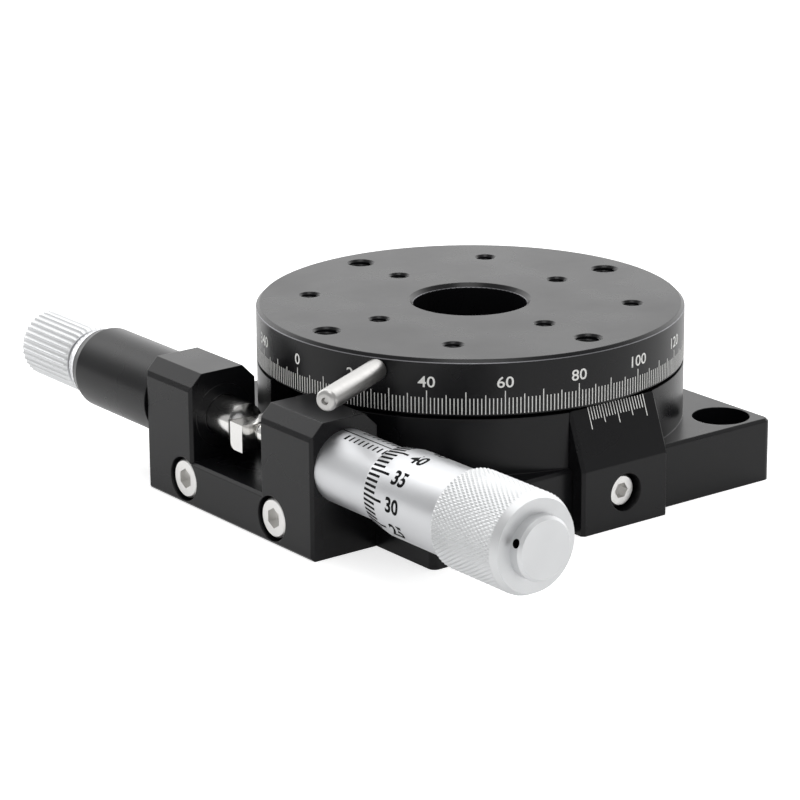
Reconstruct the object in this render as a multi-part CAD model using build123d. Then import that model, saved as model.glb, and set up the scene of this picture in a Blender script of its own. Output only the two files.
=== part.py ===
from build123d import *
from math import cos, pi, radians, sin, sqrt
import os

os.makedirs("parts", exist_ok=True)

# All sizes are in millimetres. The origin is on the rotation axis at the base's
# bottom face, +Z is up, the micrometer lies along Y on the -X side.

# Clearances
running_gap = 0.05          # radial, shaft in a hole that it turns or slides in
seat_gap = 0.02             # radial, piece seated in a bore of the same body
screw_gap = 0.05            # radial, screw shank in its hole
contact_gap = 0.08          # between the lever arm and what pushes on it
turning_gap = 0.35          # between the turning table and what stands still
edge_break = 0.4            # small chamfer on machined edges
overrun = 0.1               # how far a cut starts outside the face that it opens
long_overrun = 1.0

# Base: square flange with a round drum flush with its sides
base_side = 60.0
base_thickness = 9.0
base_corner_radius = 1.0
drum_height = 7.8
drum_wall = 3.8
bolt_inset = 5.0            # from the flange's sides
bolt_hole_radius = 2.25
bolt_head_radius = 4.06
bolt_head_depth = 4.4

# Table with its hub, as wide as the drum
table_thickness = 7.85
table_edge_chamfer = 0.5
bore_radius = 8.0
bore_lip = 0.6
hub_shoulder = 2.2          # past the bearing's bore
thread_lip = 0.3            # countersink round each tapped hole
outer_thread_inset = 4.9    # from the table's rim
outer_thread_radius = 1.7
middle_thread_inset = 7.32
inner_thread_offset = 8.08   # outside the bore
small_thread_radius = 1.25
thread_depth = 5.5
thread_azimuth = 0.8        # degrees from +X to the first hole
middle_thread_azimuth = 45.8

# Crossed-roller bearing
bearing_inset = 9.5         # inside the drum's side
bearing_section = 5.5       # from the bore to the outside
bearing_width = 5.0
bearing_ring_gap = 0.6
bearing_shoulder = 1.0
roller_diameter = 2.2
roller_count = 24
retainer_thickness = 1.5
retainer_lap = 3.5          # how far the retainer reaches past the bearing
retainer_screw_count = 6
hub_screw_count = 4

# Flat-head screws of the two retainers
flat_screw_radius = 1.0
flat_head_radius = 1.75
flat_head_height = 0.75
flat_screw_length = 4.5
flat_screw_socket = 1.3
flat_socket_depth = 0.6
flat_hole_margin = 0.2      # below the screw's tip

# Fine-adjust ring and lever arm
lever_swing = 5.0           # degrees each way
washer_thickness = 0.6
ring_height = 6.8
ring_side_gap = 0.6
arm_front_y = 1.7
arm_width = 2.8
arm_height = 3.9
arm_pad_width = 5.8
arm_pad_height = 2.4
arm_pad_margin = 1.35       # from the ring's bore
arm_pad_outer_margin = 1.0  # from the ring's rim
arm_screw_sink = 0.2        # head's top below the ring's top
arm_screw_margin = 0.6      # screw's tip above the ring's bottom
arm_overhang = 3.0          # past the micrometer's axis
arm_corner_radius = 1.0
arm_side_gap = 0.4

# Clamp screw in the table's side
clamp_azimuth = 207.3
clamp_drop = 2.0            # below the table's top face
clamp_rod_radius = 1.28
clamp_rod_reach = 15.5      # past the table's side
clamp_rod_round = 0.55
clamp_socket = 1.3
clamp_socket_depth = 1.2
clamp_tip_length = 2.6
clamp_pin_inset = 2.3       # outside the fine-adjust ring's bore
clamp_pin_radius = 1.0
clamp_pin_crown = 1.5       # below the table's top face
clamp_bore_margin = 0.6
clamp_cone_flat = 0.3       # radius of the cone's flat end
clamp_cone_gap = 0.2        # between the cone's base and the pin

# U-shaped bracket
bracket_thickness = 10.75
bracket_seat = 0.25
bracket_height = 18.85
bracket_bar_height = 6.5
bracket_chamfer = 2.0
front_gap = 7.7             # arm's front face to front post
front_post = 11.7
back_gap = 5.9              # arm's back face to back post
back_post = 11.0
bracket_screw_spacing = 21.0
bracket_screw_front = 8.5   # front screw's distance from the rotation axis along Y
bracket_screw_height = 3.6
bracket_screw_length = 11.0

# Micrometer head
head_inset = 5.25           # from the bracket's inner face
head_rise = 3.3             # above the flange
stem_radius = 4.75
stem_stand_out = 0.2        # past the front post
sleeve_radius = 5.05
sleeve_length = 24.5
spindle_radius = 1.75
spindle_guide = 13.0        # length of the narrow bore in the stem
spindle_thread_radius = 2.4
spindle_spare = 0.3         # travel beyond the lever's swing
spindle_end_gap = 0.5       # to the cap's stem and the thimble's bore
nut_length = 7.0
nut_wall = 1.6
thimble_reading = 11.1      # sleeve left bare in front of the thimble
thimble_radius = 5.9
thimble_lip = 0.1
bevel_length = 2.6
grip_radius = 6.7
grip_start = 15.4           # behind the thimble's edge
grip_end = 27.0
grip_chamfer = 0.6
thimble_length = 28.2
thimble_bore_depth = 20.0
spindle_tail_radius = 2.0
cap_radius = 4.2
cap_height = 1.8
cap_stem_radius = 3.0
cap_stem_length = 3.0
cap_hole_radius = 0.5
cap_hole_depth = 1.5
cap_hole_azimuth = 200.0    # degrees, seen along the axis from the cap

# Spring unit
housing_radius = 5.86
housing_length = 17.9
housing_taper = 3.6
housing_end_radius = 4.6
housing_stem_radius = 4.5
housing_bore_radius = 3.6
housing_lip = 1.5
housing_rear_wall = 3.9
plunger_radius = 2.9
plunger_dome_radius = 6.0   # of the ball-shaped tip
plunger_length = 13.7
plunger_head_length = 3.0
spring_mean_radius = 2.85
spring_wire_radius = 0.35
spring_length = 14.7
spring_turns = 6
spring_steps = 14           # straight runs in one turn
seat_length = 2.0
collar_radius = 4.35
collar_height = 0.9
collar_taper = 0.15
knob_radius = 4.85
knob_length = 12.7
knob_gap = 0.1
knob_chamfer = 0.8
knob_flutes = 36
flute_depth = 0.22
knob_stem_radius = 1.95

# Socket screws: shank radius, head radius, head height, hex width
head_bevel = 0.25
m3 = (1.5, 2.75, 3.0, 2.5)
m25 = (1.25, 2.25, 2.5, 2.0)
head_side_gap = 0.4
socket_depth = 1.4
bracket_head_sink = 0.3
vernier_head_sink = 1.0
set_screw_radius = 1.5
set_screw_length = 4.6

# Vernier block
vernier_width = 15.1
vernier_centre = 1.15
vernier_stand_out = 2.3     # past the flange
vernier_notch = 2.5         # depth let into the drum
vernier_top_recess = 0.7    # top edge behind the drum's radius
vernier_rise = 0.1          # above the drum
vernier_screw_height = 4.8
vernier_screw_length = 3.9
vernier_side_gap = 0.05

# Places worked out from the sizes above
half_side = base_side / 2
drum_radius = half_side
table_radius = half_side
bolt_spacing = base_side - 2 * bolt_inset
drum_top = base_thickness + drum_height
cavity_radius = drum_radius - drum_wall
table_bottom = drum_top + turning_gap
table_top = table_bottom + table_thickness
bearing_outer_radius = drum_radius - bearing_inset
bearing_bore_radius = bearing_outer_radius - bearing_section
hub_radius = bearing_bore_radius + hub_shoulder
bearing_top = base_thickness - bearing_shoulder
bearing_bottom = bearing_top - bearing_width
bearing_middle = bearing_bottom + bearing_width / 2
roller_circle = (bearing_bore_radius + bearing_outer_radius) / 2
inner_ring_radius = roller_circle - bearing_ring_gap / 2
outer_ring_radius = roller_circle + bearing_ring_gap / 2
retainer_bottom = bearing_bottom - retainer_thickness
retainer_radius = bearing_outer_radius + retainer_lap
ring_bottom = base_thickness + washer_thickness
ring_top = ring_bottom + ring_height
ring_bore_radius = hub_radius + running_gap
ring_radius = cavity_radius - ring_side_gap
arm_pad_inner = ring_bore_radius + arm_pad_margin
arm_pad_outer = ring_radius - arm_pad_outer_margin
bracket_inner_x = -(half_side - bracket_seat)
bracket_outer_x = bracket_inner_x - bracket_thickness
head_x = bracket_inner_x - head_inset
head_z = base_thickness + head_rise
arm_back_y = arm_front_y + arm_width
arm_middle_y = arm_front_y + arm_width / 2
front_post_inner = arm_front_y - front_gap
front_post_outer = front_post_inner - front_post
back_post_inner = arm_back_y + back_gap
back_post_outer = back_post_inner + back_post
arm_screw_x = -(arm_pad_inner + arm_pad_outer) / 2
clamp_z = table_top - clamp_drop
clamp_pin_circle = ring_bore_radius + clamp_pin_inset
outer_thread_circle = table_radius - outer_thread_inset
middle_thread_circle = table_radius - middle_thread_inset
inner_thread_circle = bore_radius + inner_thread_offset
bracket_screw_places = [-bracket_screw_front, bracket_screw_spacing - bracket_screw_front]


def turned(points):
    """A piece turned about Z from (radius, height) points."""
    return revolve(Plane.XZ * Polygon(*points, align=None), Axis.Z)


def rod(radius, low, high):
    """A round rod on Z between two heights."""
    return Pos(0, 0, low) * Cylinder(radius, high - low, align=(Align.CENTER, Align.CENTER, Align.MIN))


def tube(outer, inner, low, high):
    """A plain ring on Z between two heights."""
    return turned([(inner, low), (outer, low), (outer, high), (inner, high)])


def block(low, high):
    """A box between two opposite corners."""
    size = [b - a for a, b in zip(low, high)]
    corner = (Align.MIN, Align.MIN, Align.MIN)
    return Pos(*low) * Box(*size, align=corner)


def hexagon(width, low, high):
    """A hexagonal prism on Z, given its width across flats."""
    return Pos(0, 0, low) * extrude(RegularPolygon(width / 2, 6, major_radius=False), high - low)


def cap_screw(kind, length):
    """A socket screw with its head's top at Z 0, pointing down."""
    shank_radius, head_radius, head_height, hex_width = kind
    head = turned([(0, -head_height), (head_radius, -head_height), (head_radius, -head_bevel),
                   (head_radius - head_bevel, 0), (0, 0)])
    shank = rod(shank_radius, -head_height - length, -head_height)
    return head + shank - hexagon(hex_width, -socket_depth, overrun)


def cap_screw_hole(kind, length, sink):
    """The counterbored hole of a socket screw, its head sunk below Z 0."""
    shank_radius, head_radius, head_height, hex_width = kind
    seat = -sink - head_height
    wide = rod(head_radius + head_side_gap, seat, overrun)
    return wide + rod(shank_radius + screw_gap, seat - length, seat)


def flat_screw():
    """A countersunk screw with its head's top at Z 0, pointing down."""
    head = turned([(0, 0), (flat_head_radius, 0), (flat_screw_radius, -flat_head_height),
                   (0, -flat_head_height)])
    shank = rod(flat_screw_radius, -flat_screw_length, -flat_head_height)
    return head + shank - hexagon(flat_screw_socket, -flat_socket_depth, overrun)


def flat_screw_hole():
    """The countersunk hole that fits flat_screw."""
    gap = screw_gap
    head = turned([(0, overrun), (flat_head_radius + gap, overrun), (flat_head_radius + gap, 0),
                   (flat_screw_radius + gap, -flat_head_height), (0, -flat_head_height)])
    return head + rod(flat_screw_radius + gap, -flat_screw_length - flat_hole_margin, -flat_head_height)


# Axes of the micrometer and the clamp screw, and the directions of the side screws.
# On the head axis local Z is the row's Y.
head_axis = Pos(head_x, 0, head_z) * Rot(X=-90)
clamp_axis = Rot(Z=clamp_azimuth) * Pos(0, 0, clamp_z) * Rot(Y=90)
bracket_screw_axes = [Pos(bracket_outer_x, y, bracket_screw_height) * Rot(Y=-90)
                      for y in bracket_screw_places]
vernier_front_y = -(half_side + vernier_stand_out)
vernier_screw_axis = Pos(vernier_centre, vernier_front_y, vernier_screw_height) * Rot(X=90)
upside_down = Pos(0, 0, retainer_bottom) * Rot(X=180)
retainer_screw_circle = (bearing_outer_radius + retainer_radius) / 2
retainer_screw_places = PolarLocations(retainer_screw_circle, retainer_screw_count)
hub_screw_circle = (bore_radius + bearing_bore_radius) / 2
hub_screw_places = PolarLocations(hub_screw_circle, hub_screw_count, start_angle=thread_azimuth)
sleeve_set_y = front_post_outer + front_post / 3
housing_set_y = back_post_outer - back_post / 3


# Base
def make_base():
    flange = Pos(0, 0, base_thickness / 2) * Box(base_side, base_side, base_thickness)
    flange = fillet(flange.edges().filter_by(Axis.Z), base_corner_radius)
    flange = chamfer(flange.faces().sort_by(Axis.Z)[-1].edges(), edge_break)
    drum = rod(drum_radius, base_thickness, drum_top)
    inside = turned([(0, -overrun), (retainer_radius + seat_gap, -overrun),
                     (retainer_radius + seat_gap, bearing_bottom),
                     (bearing_outer_radius + seat_gap, bearing_bottom),
                     (bearing_outer_radius + seat_gap, bearing_top),
                     (outer_ring_radius, bearing_top), (outer_ring_radius, base_thickness),
                     (cavity_radius, base_thickness), (cavity_radius, drum_top + overrun),
                     (0, drum_top + overrun)])
    body = flange + drum - inside
    for place in GridLocations(bolt_spacing, bolt_spacing, 2, 2):
        body -= place * rod(bolt_hole_radius, -overrun, base_thickness + overrun)
        body -= place * rod(bolt_head_radius, base_thickness - bolt_head_depth, base_thickness + overrun)
    slot_half = arm_width / 2 + drum_radius * sin(radians(lever_swing)) + arm_side_gap
    body -= block((-drum_radius - long_overrun, arm_middle_y - slot_half, base_thickness),
                  (-cavity_radius / 2, arm_middle_y + slot_half, drum_top + overrun))
    body -= block((-half_side - long_overrun, front_post_outer, -overrun),
                  (bracket_inner_x, back_post_outer, base_thickness + overrun))
    notch_half = vernier_width / 2 + vernier_side_gap
    body -= block((vernier_centre - notch_half, -half_side - long_overrun, -overrun),
                  (vernier_centre + notch_half, -(drum_radius - vernier_notch), drum_top + overrun))
    for axis in bracket_screw_axes:
        body -= axis * cap_screw_hole(m3, bracket_screw_length, bracket_head_sink)
    body -= vernier_screw_axis * cap_screw_hole(m25, vernier_screw_length, vernier_head_sink)
    for place in retainer_screw_places:
        body -= place * upside_down * flat_screw_hole()
    return body


# Crossed-roller bearing
def make_outer_ring():
    reach = (roller_diameter / 2 + running_gap) * sqrt(2)
    outer, inner = bearing_outer_radius, outer_ring_radius
    depth = reach - bearing_ring_gap / 2
    return turned([(inner, bearing_bottom), (outer, bearing_bottom), (outer, bearing_top),
                   (inner, bearing_top),
                   (inner, bearing_middle + depth), (inner + depth, bearing_middle),
                   (inner, bearing_middle - depth)])


def make_inner_ring():
    reach = (roller_diameter / 2 + running_gap) * sqrt(2)
    outer, inner = inner_ring_radius, bearing_bore_radius + seat_gap
    depth = reach - bearing_ring_gap / 2
    return turned([(inner, bearing_bottom), (outer, bearing_bottom), (outer, bearing_middle - depth),
                   (outer - depth, bearing_middle), (outer, bearing_middle + depth), (outer, bearing_top),
                   (inner, bearing_top)])


def make_rollers():
    roller = Cylinder(roller_diameter / 2, roller_diameter - running_gap)
    places = PolarLocations(roller_circle, roller_count)
    lean = [45, -45]
    middle = Pos(0, 0, bearing_middle)
    return Compound([place * middle * Rot(Y=lean[i % 2]) * roller for i, place in enumerate(places)])


def make_bearing_retainer():
    plate = tube(retainer_radius, outer_ring_radius, retainer_bottom, bearing_bottom)
    for place in retainer_screw_places:
        plate -= place * upside_down * flat_screw_hole()
    return plate


def make_hub_retainer():
    plate = tube(inner_ring_radius - seat_gap, bore_radius + edge_break, retainer_bottom, bearing_bottom)
    for place in hub_screw_places:
        plate -= place * upside_down * flat_screw_hole()
    return plate


# Fine-adjust ring, washer and lever arm
def make_washer():
    return tube(ring_radius - ring_side_gap, outer_ring_radius + ring_side_gap, base_thickness, ring_bottom)


def arm_screw_axis():
    return Pos(arm_screw_x, arm_middle_y, ring_top)


arm_pad_top = ring_bottom + arm_pad_height
arm_screw_length = ring_height - m3[2] - arm_screw_sink - arm_screw_margin


def make_fine_ring():
    ring = tube(ring_radius, ring_bore_radius, ring_bottom, ring_top)
    pad_half = arm_pad_width / 2 + seat_gap
    ring -= block((-ring_radius - long_overrun, arm_middle_y - pad_half, ring_bottom - overrun),
                  (-arm_pad_inner + seat_gap, arm_middle_y + pad_half, arm_pad_top))
    ring -= arm_screw_axis() * cap_screw_hole(m3, arm_screw_length, arm_screw_sink)
    return ring


def make_lever_arm():
    pad = block((-arm_pad_outer, arm_middle_y - arm_pad_width / 2, ring_bottom),
                (-arm_pad_inner, arm_middle_y + arm_pad_width / 2, arm_pad_top))
    root_x = -(ring_radius + ring_side_gap / 2)
    finger = block((head_x - arm_overhang, arm_front_y, ring_bottom),
                   (root_x, arm_back_y, ring_bottom + arm_height))
    long_edges = finger.edges().filter_by(Axis.X).group_by(Axis.Z)[0]
    finger = fillet(long_edges.sort_by(Axis.Y)[-1], arm_corner_radius)
    finger = finger + block((root_x, arm_front_y, ring_bottom), (-arm_pad_outer, arm_back_y, arm_pad_top))
    return pad + finger - arm_screw_axis() * cap_screw_hole(m3, arm_screw_length, arm_screw_sink)


# Table
def tapped_hole(radius):
    top = table_top
    return turned([(0, top - thread_depth), (radius, top - thread_depth), (radius, top - thread_lip),
                   (radius + thread_lip, top), (radius + thread_lip, top + overrun), (0, top + overrun)])


def make_table():
    lip, chamfer_size = bore_lip, table_edge_chamfer
    table = turned([(bore_radius, bearing_bottom), (bearing_bore_radius, bearing_bottom),
                    (bearing_bore_radius, bearing_top), (hub_radius, bearing_top),
                    (hub_radius, table_bottom),
                    (table_radius - edge_break / 2, table_bottom),
                    (table_radius, table_bottom + edge_break / 2),
                    (table_radius, table_top - chamfer_size), (table_radius - chamfer_size, table_top),
                    (bore_radius + lip, table_top), (bore_radius, table_top - lip)])
    for place in PolarLocations(outer_thread_circle, 4, start_angle=thread_azimuth):
        table -= place * tapped_hole(outer_thread_radius)
    for place in PolarLocations(middle_thread_circle, 4, start_angle=middle_thread_azimuth):
        table -= place * tapped_hole(small_thread_radius)
    for place in PolarLocations(inner_thread_circle, 4, start_angle=thread_azimuth):
        table -= place * tapped_hole(small_thread_radius)
    for place in hub_screw_places:
        table -= place * upside_down * flat_screw_hole()
    rod_hole_end = table_radius + long_overrun
    rod_hole_start = clamp_pin_circle - clamp_pin_radius
    table -= clamp_axis * rod(clamp_rod_radius + running_gap, rod_hole_start, rod_hole_end)
    pin_hole_end = table_top - clamp_pin_crown + clamp_bore_margin
    pin_hole = rod(clamp_pin_radius + running_gap, table_bottom - overrun, pin_hole_end)
    table -= Rot(Z=clamp_azimuth) * Pos(clamp_pin_circle, 0, 0) * pin_hole
    return table


# Clamp: rod, cone tip and wedge pin
clamp_cone = clamp_rod_radius - clamp_cone_flat
clamp_cone_start = clamp_pin_circle + clamp_pin_radius + clamp_cone_gap
clamp_tip_end = clamp_cone_start + clamp_tip_length


def make_clamp_tip():
    tip = turned([(0, clamp_cone_start - clamp_cone),
                  (clamp_rod_radius - clamp_cone, clamp_cone_start - clamp_cone),
                  (clamp_rod_radius, clamp_cone_start), (clamp_rod_radius, clamp_tip_end),
                  (0, clamp_tip_end)])
    return clamp_axis * tip


def make_clamp_screw():
    end = table_radius + clamp_rod_reach
    screw = rod(clamp_rod_radius, clamp_tip_end, end)
    screw = fillet(screw.faces().sort_by(Axis.Z)[-1].edges(), clamp_rod_round)
    screw -= hexagon(clamp_socket, end - clamp_socket_depth, end + overrun)
    return clamp_axis * screw


def make_clamp_pin():
    low = ring_top + running_gap
    pin = Pos(clamp_pin_circle, 0, 0) * rod(clamp_pin_radius, low, table_top - clamp_pin_crown)
    # The pin's top is cut at 45 degrees to match the cone's lower side.
    wedge_z = clamp_z - clamp_rod_radius + clamp_cone_start - clamp_pin_circle - running_gap
    reach = table_thickness
    wedge = Pos(clamp_pin_circle, 0, wedge_z) * Rot(Y=45) * block((-reach, -reach, 0),
                                                                  (reach, reach, reach))
    return Rot(Z=clamp_azimuth) * (pin - wedge)


# Bracket
def set_screw_hole(y, radius):
    return Pos(head_x, y, 0) * rod(set_screw_radius + screw_gap, -overrun, head_z - radius / 2)


def make_bracket():
    bracket = block((bracket_outer_x, front_post_outer, 0),
                    (bracket_inner_x, back_post_outer, bracket_height))
    top_edges = bracket.faces().sort_by(Axis.Z)[-1].edges().filter_by(Axis.Y)
    bracket = chamfer(top_edges, bracket_chamfer)
    bracket -= block((bracket_outer_x - long_overrun, front_post_inner, bracket_bar_height),
                     (bracket_inner_x + long_overrun, back_post_inner, bracket_height + long_overrun))
    bracket = chamfer(bracket.faces().sort_by(Axis.X)[0].edges(), edge_break)
    bracket -= rod(table_radius + turning_gap, base_thickness, bracket_height + long_overrun)
    extra = long_overrun
    bracket -= head_axis * rod(stem_radius + seat_gap, front_post_outer - extra, front_post_inner + extra)
    housing_bore = housing_stem_radius + seat_gap
    bracket -= head_axis * rod(housing_bore, back_post_inner - extra, back_post_outer + extra)
    for axis in bracket_screw_axes:
        bracket -= axis * cap_screw_hole(m3, bracket_screw_length, bracket_head_sink)
    bracket -= set_screw_hole(sleeve_set_y, stem_radius)
    bracket -= set_screw_hole(housing_set_y, housing_stem_radius)
    return bracket


def make_set_screw(y, radius):
    """A headless screw from below, its tip on the barrel that it holds."""
    tip = head_z - radius - seat_gap
    low = tip - set_screw_length
    screw = rod(set_screw_radius, low, tip)
    screw -= hexagon(set_screw_radius, low - overrun, low + socket_depth)
    return Pos(head_x, y, 0) * screw


# Micrometer head. Heights on the head axis are the row's Y.
sleeve_end = front_post_outer - sleeve_length
stem_tip = front_post_inner + stem_stand_out
thimble_edge = front_post_outer - thimble_reading
thimble_end = thimble_edge - thimble_length
thimble_bore_end = thimble_edge - thimble_bore_depth
spindle_tip = arm_front_y - contact_gap
spindle_travel = sin(radians(lever_swing)) * -head_x + spindle_spare
guide_end = stem_tip - spindle_guide
spindle_shoulder = guide_end - spindle_travel
spindle_tail = thimble_end + cap_stem_length + spindle_end_gap
nut_radius = spindle_thread_radius + running_gap + nut_wall
thimble_bore = sleeve_radius + running_gap


def make_sleeve():
    cavity = spindle_thread_radius + running_gap
    sleeve = turned([(spindle_radius + running_gap, stem_tip), (stem_radius - edge_break, stem_tip),
                     (stem_radius, stem_tip - edge_break), (stem_radius, front_post_outer),
                     (sleeve_radius, front_post_outer), (sleeve_radius, sleeve_end),
                     (nut_radius + seat_gap, sleeve_end),
                     (nut_radius + seat_gap, sleeve_end + nut_length), (cavity, sleeve_end + nut_length),
                     (cavity, guide_end), (spindle_radius + running_gap, guide_end)])
    return head_axis * sleeve


def make_nut():
    bore = spindle_thread_radius + running_gap
    return head_axis * tube(nut_radius, bore, sleeve_end, sleeve_end + nut_length)


def make_spindle():
    ball = spindle_radius
    shaft = rod(spindle_radius, spindle_shoulder, spindle_tip - ball)
    ball_end = Pos(0, 0, spindle_tip - ball) * Sphere(ball)
    thread_end = thimble_bore_end + spindle_end_gap
    thread = rod(spindle_thread_radius, thread_end, spindle_shoulder)
    tail = rod(spindle_tail_radius, spindle_tail, thread_end)
    return head_axis * (shaft + ball_end + thread + tail)


def make_thimble():
    edge, end = thimble_edge, thimble_end
    grip_front, grip_back = edge - grip_start, edge - grip_end
    thimble = turned([(thimble_bore, edge), (thimble_bore + thimble_lip, edge),
                      (thimble_radius, edge - bevel_length),
                      (thimble_radius, grip_front), (grip_radius - grip_chamfer / 2, grip_front),
                      (grip_radius, grip_front - grip_chamfer / 2), (grip_radius, grip_back),
                      (grip_radius - grip_chamfer, end), (cap_stem_radius + seat_gap, end),
                      (cap_stem_radius + seat_gap, end + cap_stem_length),
                      (spindle_tail_radius + running_gap, end + cap_stem_length),
                      (spindle_tail_radius + running_gap, thimble_bore_end),
                      (thimble_bore, thimble_bore_end)])
    return head_axis * thimble


def make_cap():
    face = thimble_end - cap_height
    cap = turned([(0, thimble_end + cap_stem_length), (cap_stem_radius, thimble_end + cap_stem_length),
                  (cap_stem_radius, thimble_end), (cap_radius, thimble_end),
                  (cap_radius, face + edge_break),
                  (cap_radius - edge_break, face), (0, face)])
    hole = rod(cap_hole_radius, cap_radius - cap_hole_depth, cap_radius + long_overrun)
    cap -= Pos(0, 0, thimble_end - cap_height / 2) * Rot(Z=cap_hole_azimuth) * Rot(Y=90) * hole
    return head_axis * cap


# Spring unit on the same axis behind the lever arm
housing_end = back_post_outer + housing_length + housing_taper
plunger_tip = arm_back_y + contact_gap
plunger_end = plunger_tip + plunger_length
spring_end = plunger_end + spring_length
seat_end = spring_end + seat_length
housing_chamber_end = housing_end - housing_rear_wall
knob_face = housing_end + collar_height + knob_gap
knob_end = knob_face + knob_length


def make_housing():
    taper_start = back_post_outer + housing_length
    stem_bore = knob_stem_radius + running_gap
    housing = turned([(plunger_radius + running_gap, back_post_inner),
                      (housing_stem_radius, back_post_inner),
                      (housing_stem_radius, back_post_outer), (housing_radius, back_post_outer),
                      (housing_radius, taper_start), (housing_end_radius, housing_end),
                      (stem_bore, housing_end), (stem_bore, housing_chamber_end),
                      (housing_bore_radius, housing_chamber_end),
                      (housing_bore_radius, back_post_inner + housing_lip),
                      (plunger_radius + running_gap, back_post_inner + housing_lip)])
    return head_axis * housing


def make_plunger():
    dome_end = plunger_tip + plunger_dome_radius
    head_start = plunger_end - plunger_head_length
    dome = rod(plunger_radius, plunger_tip, dome_end) & Pos(0, 0, dome_end) * Sphere(plunger_dome_radius)
    head = rod(housing_bore_radius - running_gap, head_start, plunger_end)
    return head_axis * (dome + rod(plunger_radius, dome_end, head_start) + head)


def make_spring():
    """A coil of short straight runs of six-sided wire, from the plunger's head to the spring seat."""
    low = plunger_end + spring_wire_radius
    rise = spring_length - 2 * spring_wire_radius
    steps = spring_turns * spring_steps
    turns = [2 * pi * i / spring_steps for i in range(steps + 1)]
    points = [(spring_mean_radius * cos(a), spring_mean_radius * sin(a), low + rise * i / steps)
              for i, a in enumerate(turns)]
    path = Polyline(*points)
    section = Plane(origin=path @ 0, z_dir=path % 0) * RegularPolygon(spring_wire_radius, 6)
    return head_axis * sweep(section, path, transition=Transition.RIGHT)


def make_spring_seat():
    return head_axis * rod(housing_bore_radius - running_gap, spring_end, seat_end)


def make_collar():
    inner = knob_stem_radius + running_gap
    collar = turned([(inner, housing_end), (collar_radius, housing_end),
                     (collar_radius - collar_taper, knob_face - knob_gap),
                     (inner, knob_face - knob_gap)])
    return head_axis * collar


def make_knob():
    grip = turned([(0, knob_face), (knob_radius - knob_chamfer / 2, knob_face),
                   (knob_radius, knob_face + knob_chamfer / 2), (knob_radius, knob_end - knob_chamfer),
                   (knob_radius - knob_chamfer, knob_end), (0, knob_end)])
    flute = Rot(Z=45) * Box(flute_depth * sqrt(2), flute_depth * sqrt(2), knob_length + 2 * long_overrun)
    for place in PolarLocations(knob_radius, knob_flutes):
        grip -= place * Pos(0, 0, (knob_face + knob_end) / 2) * flute
    stem = rod(knob_stem_radius, seat_end, knob_face)
    return head_axis * (grip + stem)


# Vernier block
def make_vernier():
    back = -(drum_radius - vernier_notch)
    top_y = -(drum_radius - vernier_top_recess)
    top = drum_top + vernier_rise
    left, right = vernier_centre - vernier_width / 2, vernier_centre + vernier_width / 2
    side = Polygon((back, 0), (vernier_front_y, 0), (vernier_front_y, base_thickness), (top_y, top),
                   (back, top),
                   align=None)
    body = extrude(Plane.YZ.offset(left) * side, right - left, dir=(1, 0, 0))
    sides = [body.faces().sort_by(Axis.X)[i] for i in (0, -1)]
    outer_edges = [e for face in sides for e in face.edges()
                   if e.center().Y < back - overrun and e.center().Z > overrun]
    body = chamfer(outer_edges, edge_break)
    return body - vernier_screw_axis * cap_screw_hole(m25, vernier_screw_length, vernier_head_sink)


def screws_at(axes, kind, length, sink):
    """Equal socket screws, one on each axis."""
    return Compound([axis * Pos(0, 0, -sink) * cap_screw(kind, length) for axis in axes])


def flat_screws_at(places):
    """Equal flat-head screws from below."""
    return Compound([place * upside_down * flat_screw() for place in places])


nodes = {
    "base_body": make_base(),
    "vernier_block": make_vernier(),
    "vernier_screw": screws_at([vernier_screw_axis], m25, vernier_screw_length, vernier_head_sink),
    "bearing_outer_ring": make_outer_ring(),
    "bearing_inner_ring": make_inner_ring(),
    "bearing_rollers": make_rollers(),
    "bearing_retainer": make_bearing_retainer(),
    "retainer_screws": flat_screws_at(retainer_screw_places),
    "hub_retainer": make_hub_retainer(),
    "hub_screws": flat_screws_at(hub_screw_places),
    "thrust_washer": make_washer(),
    "fine_adjust_ring": make_fine_ring(),
    "lever_arm": make_lever_arm(),
    "arm_screw": screws_at([arm_screw_axis()], m3, arm_screw_length, arm_screw_sink),
    "table": make_table(),
    "clamp_screw": make_clamp_screw(),
    "clamp_tip": make_clamp_tip(),
    "clamp_pin": make_clamp_pin(),
    "micrometer_bracket": make_bracket(),
    "bracket_screws": screws_at(bracket_screw_axes, m3, bracket_screw_length, bracket_head_sink),
    "sleeve_set_screw": make_set_screw(sleeve_set_y, stem_radius),
    "housing_set_screw": make_set_screw(housing_set_y, housing_stem_radius),
    "micrometer_sleeve": make_sleeve(),
    "micrometer_nut": make_nut(),
    "micrometer_spindle": make_spindle(),
    "micrometer_thimble": make_thimble(),
    "thimble_cap": make_cap(),
    "spring_housing": make_housing(),
    "spring_plunger": make_plunger(),
    "plunger_spring": make_spring(),
    "spring_seat": make_spring_seat(),
    "knob_collar": make_collar(),
    "preload_knob": make_knob(),
}

for name, shape in nodes.items():
    export_step(shape, "parts/" + name + ".step")
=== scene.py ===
import bpy
import bmesh
from math import atan2, ceil, cos, floor, pi, radians, sin, sqrt
from mathutils import Matrix, Vector


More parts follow.
